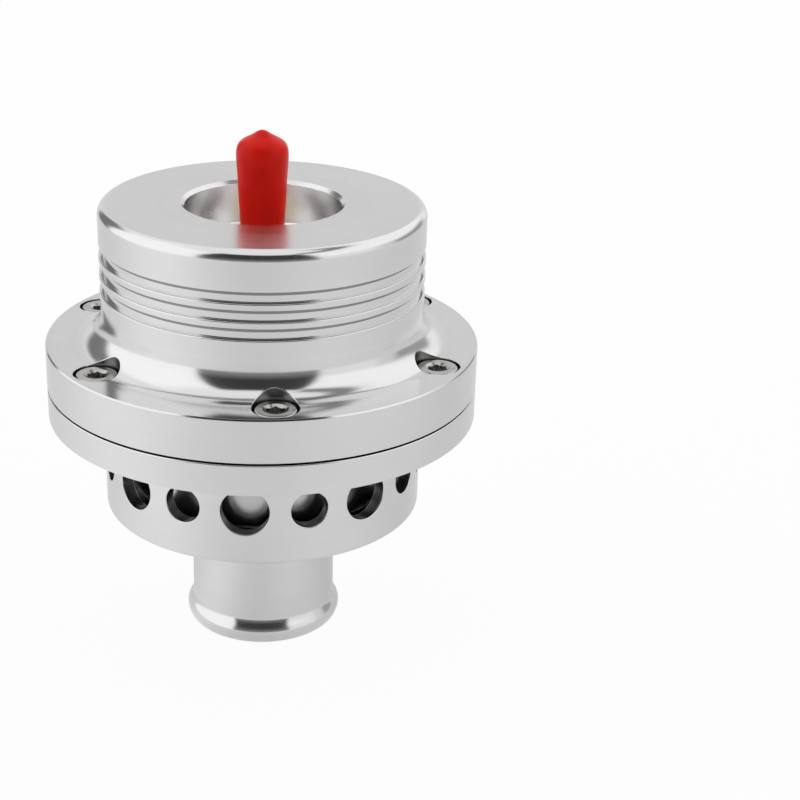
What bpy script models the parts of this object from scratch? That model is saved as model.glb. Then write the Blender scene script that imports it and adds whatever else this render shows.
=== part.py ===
"""Vent-to-air blow off valve with a sprung piston, in metres, +Z up.

The valve stands on the end of its hose tail. The origin is on its axis, at that end. Azimuths are in
degrees from the front (-Y), positive towards +X.
"""

import math

import bmesh
import bpy
from mathutils import Matrix

# Clearance between neighbouring pieces, and the smallest length that counts
GAP = 0.0003
TINY = 1e-7

# Hose tail
TAIL_RADIUS = 0.0125
TAIL_WALL = 0.0021
TAIL_LENGTH = 0.02325
BEAD_RISE = 0.00102
BEAD_CENTRE = 0.0021
BEAD_FLARE = 0.0028
TAIL_END_ROUND = 0.00145
TAIL_MOUTH_CHAMFER = 0.0005

# Vented base, which shares its diameter with the upper body
BARREL_RADIUS = 0.0272
BASE_WALL = 0.0023
BASE_HEIGHT = 0.01687
BASE_FLOOR = 0.0026
BASE_CORNER = 0.0007
INNER_CORNER = 0.0015
SEAT_LIP_HEIGHT = 0.0008
SEAT_LIP_WIDTH = 0.0014

# Vents, large and small by turns
VENT_PAIRS = 8
VENT_AZIMUTH = -6.4
VENT_CENTRE = 0.00935
LARGE_VENT_RADIUS = 0.0040
SMALL_VENT_RADIUS = 0.0031

# Flanges
FLANGE_OVERHANG = 0.0093
LOWER_FLANGE_THICKNESS = 0.00518
UPPER_FLANGE_THICKNESS = 0.0074
FLANGE_EDGE = 0.0005

# Upper body
NECK_HEIGHT = 0.0236
NECK_FILLET = 0.0048
TOP_ROUND = 0.0018
TOP_BAND = 0.00655
GROOVE_COUNT = 3
GROOVE_PITCH = 0.0030
GROOVE_WIDTH = 0.00183
GROOVE_DEPTH = 0.0007
RECESS_RADIUS = 0.0130
RECESS_CHAMFER = 0.0007
RECESS_DEPTH = 0.0115
RECESS_FLAT_RADIUS = 0.0060
RECESS_CONE_RISE = 0.0040
ROOF_THICKNESS = 0.0041
SPIGOT_WALL = 0.0012
SPIGOT_CLEARANCE = 0.0020

# Flange seal
FLANGE_RING_SECTION = 0.0010
FLANGE_RING_INSET = 0.0010

# Flange screws
SCREW_COUNT = 6
SCREW_AZIMUTH = 3.4
SCREW_OFFSET = 0.0047
SCREW_RADIUS = 0.0020
SCREW_HEAD_RADIUS = 0.0035
SCREW_HEAD_HEIGHT = 0.0040
SCREW_HEAD_SUNK = 0.0001
SCREW_HEAD_EDGE = 0.0004
SCREW_TIP_RECESS = 0.0004
SOCKET_HALF_FLATS = 0.0015
SOCKET_DEPTH = 0.0022
COUNTERBORE_CLEARANCE = 0.0004

# Piston
PISTON_LIFT = 0.0085
PISTON_CLEARANCE = 0.0006
PISTON_WALL = 0.0030
PISTON_FLOOR = 0.0030
PISTON_EDGE = 0.0006
BOSS_HEIGHT = 0.0050
BOSS_CLEARANCE = 0.0006
RING_LAND = 0.0012
GUIDE_RING_HEIGHT = 0.0018
GUIDE_RING_DEPTH = 0.0012
PISTON_RING_SECTION = 0.0009

# Seat seal with its retainer
SEAL_THICKNESS = 0.0020
SEAL_PROUD = 0.0005
SEAL_COVER = 0.0024
SEAL_BORE_CLEARANCE = 0.0006
RETAINER_THICKNESS = 0.0015
RETAINER_CLEARANCE = 0.0012
RETAINER_SCREW_RADIUS = 0.0020
RETAINER_HEAD_RADIUS = 0.0035
RETAINER_HEAD_HEIGHT = 0.0022
RETAINER_SCREW_LENGTH = 0.0100

# Spring
SPRING_RADIUS = 0.0106
WIRE_RADIUS = 0.0008
ACTIVE_TURNS = 5
CLOSED_TURN_PITCH = 0.0019
SHIM_THICKNESS = 0.0010
SHIM_OVERLAP = 0.0006

# Vacuum nipple with its washer
NIPPLE_THREAD_RADIUS = 0.0025
NIPPLE_HALF_FLATS = 0.0040
NIPPLE_HEX_HEIGHT = 0.0040
NIPPLE_STEM_RADIUS = 0.0021
NIPPLE_BORE_RADIUS = 0.0012
NIPPLE_STEM_HEIGHT = 0.0145
BARB_RISE = 0.0006
BARB_LENGTH = 0.0022
WASHER_THICKNESS = 0.0010
WASHER_RADIUS = 0.0045

# Protective cap
CAP_WALL = 0.00055
CAP_LOWER_LENGTH = 0.0075
CAP_LOWER_FLARE = 0.00043
CAP_WAIST_LENGTH = 0.0018
CAP_BULGE_LENGTH = 0.0028
CAP_BULGE_RISE = 0.0003
CAP_BAND_LENGTH = 0.00245
CAP_SHOULDER_ROUND = 0.0015
CAP_CONE_SLOPE = 32
CAP_TIP_ROUND = 0.0013

# Facets round each kind of piece
HOUSING_FACETS = 48
FITTING_FACETS = 24
SCREW_FACETS = 18
VENT_FACETS = 16

# Radii that follow
TAIL_BORE = TAIL_RADIUS - TAIL_WALL
BASE_BORE = BARREL_RADIUS - BASE_WALL
FLANGE_RADIUS = BARREL_RADIUS + FLANGE_OVERHANG
SCREW_CIRCLE = BARREL_RADIUS + SCREW_OFFSET
SPIGOT_RADIUS = BASE_BORE - GAP
PISTON_BORE = SPIGOT_RADIUS - SPIGOT_WALL
PISTON_RADIUS = PISTON_BORE - PISTON_CLEARANCE
RING_RADIUS = PISTON_BORE - GAP
PISTON_HOLLOW = PISTON_RADIUS - PISTON_WALL
BOSS_RADIUS = SPRING_RADIUS - WIRE_RADIUS - BOSS_CLEARANCE
SEAL_RADIUS = TAIL_BORE + SEAT_LIP_WIDTH + SEAL_COVER
RETAINER_RADIUS = TAIL_BORE - RETAINER_CLEARANCE
RETAINER_HOLE = RETAINER_SCREW_RADIUS + GAP
FLANGE_RING_RADIUS = BASE_BORE + FLANGE_RING_INSET + GAP + FLANGE_RING_SECTION
BARB_RADIUS = NIPPLE_STEM_RADIUS + BARB_RISE
CAP_BORE = BARB_RADIUS + GAP

# Heights that follow, from the foot up
BASE_BOTTOM = TAIL_LENGTH
FLOOR_TOP = BASE_BOTTOM + BASE_FLOOR
SEAT_TOP = FLOOR_TOP + SEAT_LIP_HEIGHT
VENT_LEVEL = BASE_BOTTOM + VENT_CENTRE
SPIGOT_BOTTOM = VENT_LEVEL + LARGE_VENT_RADIUS + SPIGOT_CLEARANCE
FLANGE_BOTTOM = BASE_BOTTOM + BASE_HEIGHT
LOWER_FLANGE_TOP = FLANGE_BOTTOM + LOWER_FLANGE_THICKNESS
UPPER_FLANGE_BOTTOM = LOWER_FLANGE_TOP + GAP
UPPER_FLANGE_TOP = UPPER_FLANGE_BOTTOM + UPPER_FLANGE_THICKNESS
TOP_FACE = UPPER_FLANGE_TOP + NECK_HEIGHT
RECESS_FLOOR = TOP_FACE - RECESS_DEPTH
ROOF = RECESS_FLOOR - ROOF_THICKNESS
SEAL_BOTTOM = SEAT_TOP + GAP
PISTON_BOTTOM = SEAL_BOTTOM + SEAL_PROUD
SEAL_POCKET_ROOF = SEAL_BOTTOM + SEAL_THICKNESS + GAP
PISTON_FLOOR_TOP = SEAL_POCKET_ROOF + PISTON_FLOOR
PISTON_TOP = ROOF - GAP - PISTON_LIFT
SHIM_BOTTOM = ROOF - GAP - SHIM_THICKNESS
SPRING_BOTTOM = PISTON_FLOOR_TOP + GAP
SPRING_TOP = SHIM_BOTTOM - GAP
RETAINER_BOTTOM = SEAL_BOTTOM - GAP - RETAINER_THICKNESS
SCREW_HEAD_BOTTOM = UPPER_FLANGE_TOP - SCREW_HEAD_SUNK - SCREW_HEAD_HEIGHT
SCREW_TIP = FLANGE_BOTTOM + SCREW_TIP_RECESS
WASHER_BOTTOM = RECESS_FLOOR + GAP
NIPPLE_HEX_BOTTOM = WASHER_BOTTOM + WASHER_THICKNESS + GAP
CAP_BOTTOM = NIPPLE_HEX_BOTTOM + NIPPLE_HEX_HEIGHT + GAP

# Finishes: colour, roughness, metallic
POLISHED_ALUMINIUM = ((0.86, 0.86, 0.86), 0.22, 1.0)
STAINLESS_STEEL = ((0.45, 0.44, 0.42), 0.30, 1.0)
SPRING_STEEL = ((0.50, 0.50, 0.50), 0.30, 1.0)
BRASS = ((0.78, 0.60, 0.30), 0.30, 1.0)
COPPER = ((0.75, 0.42, 0.28), 0.35, 1.0)
BLACK_RUBBER = ((0.02, 0.02, 0.02), 0.60, 0.0)
WHITE_PTFE = ((0.80, 0.80, 0.78), 0.45, 0.0)
RED_VINYL = ((0.62, 0.02, 0.01), 0.35, 0.0)


def arc(centre, radius, start, end, steps):
    """Points round a centre (r, z) from one angle to another, in degrees, both ends included."""
    angles = [math.radians(start + (end - start) * i / steps) for i in range(steps + 1)]
    return [(centre[0] + radius * math.cos(a), centre[1] + radius * math.sin(a)) for a in angles]


def around(azimuth, radius):
    """The (x, y) place at an azimuth in degrees from the front."""
    turn = math.radians(azimuth)
    return radius * math.sin(turn), -radius * math.cos(turn)


def empty(name, height):
    axis = bpy.data.objects.new(name, None)
    axis.location.z = height
    bpy.context.scene.collection.objects.link(axis)
    return axis


def finish(obj, look):
    """Gives the object a material of its own."""
    colour, roughness, metallic = look
    material = bpy.data.materials.new(obj.name)
    material.use_nodes = True
    shader = material.node_tree.nodes["Principled BSDF"]
    shader.inputs["Base Color"].default_value = (*colour, 1.0)
    shader.inputs["Roughness"].default_value = roughness
    shader.inputs["Metallic"].default_value = metallic
    obj.data.materials.append(material)


def placed(name, data, parent, height):
    """Adds an object on its parent, with its own origin on the axis at this world height."""
    obj = bpy.data.objects.new(name, data)
    bpy.context.scene.collection.objects.link(obj)
    if parent:
        obj.parent = parent
        height -= parent.location.z
    obj.location.z = height
    return obj


def turned_mesh(name, outline, height, facets, hexagons=()):
    """A turned mesh from points (r, z) in world heights, with its origin at this height on the axis.

    An outline that starts and ends on the axis is left open there, and any other is closed. Each entry
    of hexagons is a radius and two heights: the points there move out to a hexagon round that radius.
    """
    bm = bmesh.new()
    points = [bm.verts.new((r, 0.0, z - height)) for r, z in outline]
    closed = outline[0][0] > TINY or outline[-1][0] > TINY
    ends = zip(points, points[1:] + points[:1] if closed else points[1:])
    edges = [bm.edges.new(pair) for pair in ends]
    bmesh.ops.spin(bm, geom=points + edges, cent=(0, 0, 0), axis=(0, 0, 1), angle=math.tau,
                   steps=facets, use_merge=True)
    bmesh.ops.remove_doubles(bm, verts=bm.verts, dist=TINY)
    for radius, low, high in hexagons:
        push_to_hexagon(bm, radius, low - height, high - height)
    bmesh.ops.recalc_face_normals(bm, faces=bm.faces)
    mesh = bpy.data.meshes.new(name)
    bm.to_mesh(mesh)
    bm.free()
    mesh.shade_smooth()
    mesh.set_sharp_from_angle(angle=math.radians(30))
    return mesh


def push_to_hexagon(bm, radius, low, high):
    """Moves the rings at this radius between two heights out to a hexagon with flats at that radius."""
    side = math.radians(60)
    for vert in bm.verts:
        at_radius = abs(math.hypot(vert.co.x, vert.co.y) - radius) < TINY
        if at_radius and low - TINY < vert.co.z < high + TINY:
            from_flat = math.atan2(vert.co.y, vert.co.x) % side - side / 2
            vert.co.x /= math.cos(from_flat)
            vert.co.y /= math.cos(from_flat)


def turned(name, outline, look, parent, height, facets=HOUSING_FACETS, hexagons=()):
    obj = placed(name, turned_mesh(name, outline, height, facets, hexagons), parent, height)
    finish(obj, look)
    return obj


def tube_outline(inner, outer, low, high):
    """The section of a plain washer or ring."""
    return [(inner, low), (outer, low), (outer, high), (inner, high)]


def ring_outline(radius, section, height):
    """The round section of a sealing ring."""
    return arc((radius, height), section, 0, 300, 5)


def drill(target, name, frames, radius, depth, facets):
    """Cuts round holes out of the target: each frame puts a bar's middle on a hole's axis."""
    bm = bmesh.new()
    for frame in frames:
        bmesh.ops.create_cone(bm, cap_ends=True, segments=facets, radius1=radius, radius2=radius,
                              depth=depth, matrix=frame)
    mesh = bpy.data.meshes.new(name)
    bm.to_mesh(mesh)
    bm.free()
    cutter = bpy.data.objects.new(name, mesh)
    cutter.hide_render = True
    cutter.display_type = "WIRE"
    bpy.context.scene.collection.objects.link(cutter)
    cut = target.modifiers.new(name, "BOOLEAN")
    cut.operation = "DIFFERENCE"
    cut.solver = "EXACT"
    cut.object = cutter


def screw_places():
    return [around(SCREW_AZIMUTH + 360 * i / SCREW_COUNT, SCREW_CIRCLE) for i in range(SCREW_COUNT)]


def upright_frames(low, high):
    """Frames for bars between two heights at the flange screws."""
    return [Matrix.Translation((x, y, (low + high) / 2)) for x, y in screw_places()]


def vent_frames(azimuth):
    """Frames for bars that cross the base wall, one for each pair of vents."""
    middle = BARREL_RADIUS - BASE_WALL / 2
    lying = Matrix.Rotation(math.pi / 2, 4, "X")
    frames = []
    for i in range(VENT_PAIRS):
        turn = azimuth + 360 * i / VENT_PAIRS
        x, y = around(turn, middle)
        outward = Matrix.Rotation(math.radians(turn), 4, "Z")
        frames.append(Matrix.Translation((x, y, VENT_LEVEL)) @ outward @ lying)
    return frames


def lower_housing(parent):
    """Hose tail, floor with its seat, vented wall and lower flange, turned as one piece."""
    bead = TAIL_RADIUS + BEAD_RISE
    end_radius = bead - TAIL_END_ROUND
    groove_inner = FLANGE_RING_RADIUS - FLANGE_RING_SECTION - GAP
    groove_outer = FLANGE_RING_RADIUS + FLANGE_RING_SECTION + GAP
    groove_floor = LOWER_FLANGE_TOP - 2 * FLANGE_RING_SECTION - GAP
    outline = [(TAIL_BORE + TAIL_MOUTH_CHAMFER, 0.0)]
    outline += [(end_radius + (bead - end_radius) * math.sin(a), BEAD_CENTRE * (1 - math.cos(a)))
                for a in (math.radians(30 * i) for i in range(4))]
    outline += [(bead - BEAD_RISE * (1 - math.cos(math.pi * i / 3)) / 2, BEAD_CENTRE + BEAD_FLARE * i / 3)
                for i in range(1, 4)]
    outline += [(TAIL_RADIUS, BASE_BOTTOM)]
    outline += arc((BARREL_RADIUS - BASE_CORNER, BASE_BOTTOM + BASE_CORNER), BASE_CORNER, -90, 0, 2)
    outline += [
        (BARREL_RADIUS, FLANGE_BOTTOM),
        (FLANGE_RADIUS, FLANGE_BOTTOM),
        (FLANGE_RADIUS, LOWER_FLANGE_TOP),
        (groove_outer, LOWER_FLANGE_TOP),
        (groove_outer, groove_floor),
        (groove_inner, groove_floor),
        (groove_inner, LOWER_FLANGE_TOP),
        (BASE_BORE, LOWER_FLANGE_TOP),
    ]
    outline += arc((BASE_BORE - INNER_CORNER, FLOOR_TOP + INNER_CORNER), INNER_CORNER, 0, -90, 3)
    outline += [
        (TAIL_BORE + SEAT_LIP_WIDTH, FLOOR_TOP),
        (TAIL_BORE + SEAT_LIP_WIDTH, SEAT_TOP),
        (TAIL_BORE, SEAT_TOP),
        (TAIL_BORE, TAIL_MOUTH_CHAMFER),
    ]
    housing = turned("lower_housing", outline, POLISHED_ALUMINIUM, parent, 0.0)
    reach = 3 * BASE_WALL
    half_step = 180 / VENT_PAIRS
    drill(housing, "large_vent_cutter", vent_frames(VENT_AZIMUTH), LARGE_VENT_RADIUS, reach, VENT_FACETS)
    drill(housing, "small_vent_cutter", vent_frames(VENT_AZIMUTH + half_step), SMALL_VENT_RADIUS, reach,
          VENT_FACETS)
    low, high = FLANGE_BOTTOM - FLANGE_EDGE, LOWER_FLANGE_TOP + FLANGE_EDGE
    drill(housing, "lower_screw_cutter", upright_frames(low, high), SCREW_RADIUS + GAP, high - low,
          SCREW_FACETS)


def groove_points():
    """The round-bottomed grooves under the top band, from the top down."""
    points = []
    for i in range(GROOVE_COUNT):
        top = TOP_FACE - TOP_BAND - i * GROOVE_PITCH
        bottom = top - GROOVE_WIDTH
        deep = BARREL_RADIUS - GROOVE_DEPTH
        points += [(BARREL_RADIUS, top), (deep, top - GROOVE_WIDTH / 4), (deep, bottom + GROOVE_WIDTH / 4),
                   (BARREL_RADIUS, bottom)]
    return points


def upper_housing(parent):
    """Top band, grooved neck, upper flange, spigot, piston bore and nipple recess, turned as one piece."""
    nipple_hole = NIPPLE_THREAD_RADIUS + GAP
    outline = [
        (nipple_hole, RECESS_FLOOR),
        (nipple_hole, ROOF),
        (PISTON_BORE, ROOF),
        (PISTON_BORE, SPIGOT_BOTTOM),
        (SPIGOT_RADIUS, SPIGOT_BOTTOM),
        (SPIGOT_RADIUS, UPPER_FLANGE_BOTTOM),
        (FLANGE_RADIUS, UPPER_FLANGE_BOTTOM),
    ]
    outline += arc((FLANGE_RADIUS - FLANGE_EDGE, UPPER_FLANGE_TOP - FLANGE_EDGE), FLANGE_EDGE, 0, 90, 2)
    outline += arc((BARREL_RADIUS + NECK_FILLET, UPPER_FLANGE_TOP + NECK_FILLET), NECK_FILLET, 270, 180, 5)
    outline += reversed(groove_points())
    outline += arc((BARREL_RADIUS - TOP_ROUND, TOP_FACE - TOP_ROUND), TOP_ROUND, 0, 90, 3)
    outline += [
        (RECESS_RADIUS + RECESS_CHAMFER, TOP_FACE),
        (RECESS_RADIUS, TOP_FACE - RECESS_CHAMFER),
        (RECESS_RADIUS, RECESS_FLOOR + RECESS_CONE_RISE),
        (RECESS_FLAT_RADIUS, RECESS_FLOOR),
    ]
    housing = turned("upper_housing", outline, POLISHED_ALUMINIUM, parent, UPPER_FLANGE_BOTTOM)
    low, high = SCREW_HEAD_BOTTOM - GAP, UPPER_FLANGE_TOP + NECK_FILLET
    drill(housing, "counterbore_cutter", upright_frames(low, high),
          SCREW_HEAD_RADIUS + COUNTERBORE_CLEARANCE, high - low, SCREW_FACETS)
    low, high = UPPER_FLANGE_BOTTOM - FLANGE_EDGE, UPPER_FLANGE_TOP
    drill(housing, "upper_screw_cutter", upright_frames(low, high), SCREW_RADIUS + GAP, high - low,
          SCREW_FACETS)


def flange_seal(parent):
    height = LOWER_FLANGE_TOP - FLANGE_RING_SECTION
    turned("flange_o_ring", ring_outline(FLANGE_RING_RADIUS, FLANGE_RING_SECTION, height), BLACK_RUBBER,
           parent, height)


def flange_screws(parent):
    """Socket head cap screws, sunk in the upper flange."""
    top = SCREW_HEAD_BOTTOM + SCREW_HEAD_HEIGHT
    socket_floor = top - SOCKET_DEPTH
    outline = [
        (0.0, socket_floor),
        (SOCKET_HALF_FLATS, socket_floor),
        (SOCKET_HALF_FLATS, top),
        (SCREW_HEAD_RADIUS - SCREW_HEAD_EDGE, top),
        (SCREW_HEAD_RADIUS, top - SCREW_HEAD_EDGE),
        (SCREW_HEAD_RADIUS, SCREW_HEAD_BOTTOM),
        (SCREW_RADIUS, SCREW_HEAD_BOTTOM),
        (SCREW_RADIUS, SCREW_TIP),
        (0.0, SCREW_TIP),
    ]
    hexagons = [(SOCKET_HALF_FLATS, socket_floor, top)]
    for i, (x, y) in enumerate(screw_places(), 1):
        screw = turned(f"flange_screw_{i}", outline, STAINLESS_STEEL, parent, SCREW_HEAD_BOTTOM,
                       SCREW_FACETS, hexagons)
        screw.location.x = x
        screw.location.y = y


def piston_groove(top, depth, height):
    """A square groove in the piston's skirt, from the top down."""
    floor = RING_RADIUS - depth - GAP
    bottom = top - height - 2 * GAP
    return [(PISTON_RADIUS, top), (floor, top), (floor, bottom), (PISTON_RADIUS, bottom)]


def piston_levels():
    """The tops of the three grooves in the skirt: guide ring, sealing ring, guide ring."""
    upper = PISTON_TOP - RING_LAND
    middle = upper - GUIDE_RING_HEIGHT - 2 * GAP - RING_LAND
    lower = middle - 2 * PISTON_RING_SECTION - 2 * GAP - RING_LAND
    return upper, middle, lower


def piston(parent):
    """A cup with a boss in it for the retainer's screw, a seal pocket below and three ring grooves."""
    upper, middle, lower = piston_levels()
    seal_pocket = SEAL_RADIUS + GAP
    screw_tip = RETAINER_BOTTOM - GAP + RETAINER_SCREW_LENGTH
    outline = [
        (0.0, screw_tip + GAP),
        (RETAINER_HOLE, screw_tip + GAP),
        (RETAINER_HOLE, SEAL_POCKET_ROOF),
        (seal_pocket, SEAL_POCKET_ROOF),
        (seal_pocket, PISTON_BOTTOM),
        (PISTON_RADIUS - PISTON_EDGE, PISTON_BOTTOM),
        (PISTON_RADIUS, PISTON_BOTTOM + PISTON_EDGE),
    ]
    outline += reversed(piston_groove(lower, GUIDE_RING_DEPTH, GUIDE_RING_HEIGHT))
    outline += reversed(piston_groove(middle, 2 * PISTON_RING_SECTION, 2 * PISTON_RING_SECTION))
    outline += reversed(piston_groove(upper, GUIDE_RING_DEPTH, GUIDE_RING_HEIGHT))
    outline += [
        (PISTON_RADIUS, PISTON_TOP),
        (PISTON_HOLLOW, PISTON_TOP),
        (PISTON_HOLLOW, PISTON_FLOOR_TOP),
        (BOSS_RADIUS, PISTON_FLOOR_TOP),
        (BOSS_RADIUS, PISTON_FLOOR_TOP + BOSS_HEIGHT),
        (0.0, PISTON_FLOOR_TOP + BOSS_HEIGHT),
    ]
    turned("piston", outline, POLISHED_ALUMINIUM, parent, PISTON_BOTTOM)


def piston_rings(parent):
    upper, middle, lower = piston_levels()
    for name, top in (("upper_guide_ring", upper), ("lower_guide_ring", lower)):
        high = top - GAP
        low = high - GUIDE_RING_HEIGHT
        turned(name, tube_outline(RING_RADIUS - GUIDE_RING_DEPTH, RING_RADIUS, low, high), WHITE_PTFE,
               parent, low)
    height = middle - GAP - PISTON_RING_SECTION
    outline = ring_outline(RING_RADIUS - PISTON_RING_SECTION, PISTON_RING_SECTION, height)
    turned("piston_o_ring", outline, BLACK_RUBBER, parent, height)


def seat_seal(parent):
    """The flat rubber disc that closes on the seat, its retainer plate and the screw that holds both."""
    hole = RETAINER_HOLE + SEAL_BORE_CLEARANCE
    turned("seat_seal", tube_outline(hole, SEAL_RADIUS, SEAL_BOTTOM, SEAL_BOTTOM + SEAL_THICKNESS),
           BLACK_RUBBER, parent, SEAL_BOTTOM)
    retainer_top = RETAINER_BOTTOM + RETAINER_THICKNESS
    turned("seal_retainer", tube_outline(RETAINER_HOLE, RETAINER_RADIUS, RETAINER_BOTTOM, retainer_top),
           STAINLESS_STEEL, parent, RETAINER_BOTTOM)
    head_top = RETAINER_BOTTOM - GAP
    head_bottom = head_top - RETAINER_HEAD_HEIGHT
    socket_roof = head_bottom + RETAINER_HEAD_HEIGHT / 2
    outline = [
        (0.0, head_top + RETAINER_SCREW_LENGTH),
        (RETAINER_SCREW_RADIUS, head_top + RETAINER_SCREW_LENGTH),
        (RETAINER_SCREW_RADIUS, head_top),
        (RETAINER_HEAD_RADIUS, head_top),
        (RETAINER_HEAD_RADIUS - SCREW_HEAD_EDGE, head_bottom + SCREW_HEAD_EDGE),
        (RETAINER_HEAD_RADIUS - 3 * SCREW_HEAD_EDGE, head_bottom),
        (SOCKET_HALF_FLATS, head_bottom),
        (SOCKET_HALF_FLATS, socket_roof),
        (0.0, socket_roof),
    ]
    turned("retainer_screw", outline, STAINLESS_STEEL, parent, head_top, SCREW_FACETS,
           [(SOCKET_HALF_FLATS, head_bottom, socket_roof)])


def spring(parent):
    """A coil with one closed turn at each end, as one swept wire."""
    turns = ACTIVE_TURNS + 2
    rise = SPRING_TOP - SPRING_BOTTOM - 2 * WIRE_RADIUS
    active_pitch = (rise - 2 * CLOSED_TURN_PITCH) / ACTIVE_TURNS
    steps_a_turn = 16
    curve = bpy.data.curves.new("main_spring", "CURVE")
    curve.dimensions = "3D"
    curve.bevel_depth = WIRE_RADIUS
    curve.bevel_resolution = 1
    curve.use_fill_caps = True
    wire = curve.splines.new("POLY")
    wire.points.add(turns * steps_a_turn)
    for i, point in enumerate(wire.points):
        turn = i / steps_a_turn
        closed = min(turn, 1) + max(turn - turns + 1, 0)
        z = WIRE_RADIUS + closed * CLOSED_TURN_PITCH + (turn - closed) * active_pitch
        x, y = around(360 * turn, SPRING_RADIUS)
        point.co = (x, y, z, 1.0)
    obj = placed("main_spring", curve, parent, SPRING_BOTTOM)
    finish(obj, SPRING_STEEL)


def spring_shim(parent):
    inner = BOSS_RADIUS - SHIM_OVERLAP
    outer = SPRING_RADIUS + WIRE_RADIUS + SHIM_OVERLAP
    turned("spring_shim", tube_outline(inner, outer, SHIM_BOTTOM, SHIM_BOTTOM + SHIM_THICKNESS),
           STAINLESS_STEEL, parent, SHIM_BOTTOM)


def vacuum_nipple(parent):
    """A hexagon with a threaded end below and a barbed stem above, bored through."""
    hex_top = NIPPLE_HEX_BOTTOM + NIPPLE_HEX_HEIGHT
    tip = hex_top + NIPPLE_STEM_HEIGHT
    outline = [
        (NIPPLE_BORE_RADIUS, ROOF + GAP),
        (NIPPLE_THREAD_RADIUS, ROOF + GAP),
        (NIPPLE_THREAD_RADIUS, NIPPLE_HEX_BOTTOM),
        (NIPPLE_HALF_FLATS, NIPPLE_HEX_BOTTOM),
        (NIPPLE_HALF_FLATS, hex_top),
        (NIPPLE_STEM_RADIUS, hex_top),
        (NIPPLE_STEM_RADIUS, tip - BARB_LENGTH),
        (BARB_RADIUS, tip - BARB_LENGTH),
        (NIPPLE_STEM_RADIUS, tip),
        (NIPPLE_BORE_RADIUS, tip),
    ]
    turned("vacuum_nipple", outline, BRASS, parent, NIPPLE_HEX_BOTTOM, FITTING_FACETS,
           [(NIPPLE_HALF_FLATS, NIPPLE_HEX_BOTTOM, hex_top)])
    turned("nipple_washer",
           tube_outline(NIPPLE_THREAD_RADIUS + GAP, WASHER_RADIUS, WASHER_BOTTOM,
                        WASHER_BOTTOM + WASHER_THICKNESS),
           COPPER, parent, WASHER_BOTTOM, FITTING_FACETS)


def protective_cap(parent):
    """A soft dipped cap: a sleeve that swells over the barb, under a blunt cone with a round tip."""
    foot = CAP_BORE + CAP_WALL
    waist = foot + CAP_LOWER_FLARE
    widest = waist + CAP_BULGE_RISE
    lower_top = CAP_BOTTOM + CAP_LOWER_LENGTH
    waist_top = lower_top + CAP_WAIST_LENGTH
    bulge = waist_top + CAP_BULGE_LENGTH
    shoulder = bulge + CAP_BAND_LENGTH
    inner_top = CAP_BOTTOM + NIPPLE_STEM_HEIGHT
    facing = 90 - CAP_CONE_SLOPE
    shoulder_arc = arc((widest - CAP_SHOULDER_ROUND, shoulder), CAP_SHOULDER_ROUND, 0, facing, 3)
    cone_foot_radius, cone_foot = shoulder_arc[-1]
    tip_foot_radius = CAP_TIP_ROUND * math.cos(math.radians(facing))
    tip_foot = cone_foot + (cone_foot_radius - tip_foot_radius) * math.tan(math.radians(CAP_CONE_SLOPE))
    tip_centre = tip_foot - CAP_TIP_ROUND * math.sin(math.radians(facing))
    outline = [
        (0.0, inner_top),
        (CAP_BORE, inner_top),
        (CAP_BORE, CAP_BOTTOM),
        (foot, CAP_BOTTOM),
        (waist, lower_top),
        (waist, waist_top),
        (widest, bulge),
    ]
    outline += shoulder_arc
    outline += [(tip_foot_radius, tip_foot), (0.0, tip_centre + CAP_TIP_ROUND)]
    turned("protective_cap", outline, RED_VINYL, parent, CAP_BOTTOM, FITTING_FACETS)


def main():
    for obj in list(bpy.data.objects):
        bpy.data.objects.remove(obj, do_unlink=True)
    body = empty("valve_body", 0.0)
    lower_housing(body)
    upper_housing(body)
    flange_seal(body)
    flange_screws(body)
    vacuum_nipple(body)
    spring(body)
    spring_shim(body)
    piston_axis = empty("piston_axis", PISTON_BOTTOM)
    piston(piston_axis)
    piston_rings(piston_axis)
    seat_seal(piston_axis)
    cap_axis = empty("cap_axis", CAP_BOTTOM)
    protective_cap(cap_axis)


main()
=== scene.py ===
"""Looks of a vent-to-air blow off valve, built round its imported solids. Metres, +Z up, the front at -Y.

Sections are given in millimetres as (r, z). Azimuths are in degrees from the front, positive towards +X.
"""

import math

import bpy
import numpy as np
from mathutils import Euler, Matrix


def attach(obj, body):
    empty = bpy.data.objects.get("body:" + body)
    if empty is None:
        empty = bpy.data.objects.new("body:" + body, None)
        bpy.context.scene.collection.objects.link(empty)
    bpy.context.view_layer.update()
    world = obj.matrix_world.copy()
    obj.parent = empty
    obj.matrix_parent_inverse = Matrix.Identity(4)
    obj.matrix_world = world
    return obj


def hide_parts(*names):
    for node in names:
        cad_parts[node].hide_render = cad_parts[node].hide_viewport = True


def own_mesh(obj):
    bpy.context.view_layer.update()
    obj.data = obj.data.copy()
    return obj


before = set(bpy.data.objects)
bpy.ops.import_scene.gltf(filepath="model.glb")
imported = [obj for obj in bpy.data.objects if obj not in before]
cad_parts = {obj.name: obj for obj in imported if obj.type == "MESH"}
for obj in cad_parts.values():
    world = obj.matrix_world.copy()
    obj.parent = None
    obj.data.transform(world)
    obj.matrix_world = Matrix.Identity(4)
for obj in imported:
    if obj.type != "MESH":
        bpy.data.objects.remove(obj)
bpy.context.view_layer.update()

MM = 0.001
# Points of a mesh this near each other are joined, in metres
WELD = 2e-6

# Steps round a full turn
BODY_STEPS = 192
SMALL_STEPS = 96
SCREW_STEPS = 48

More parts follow.
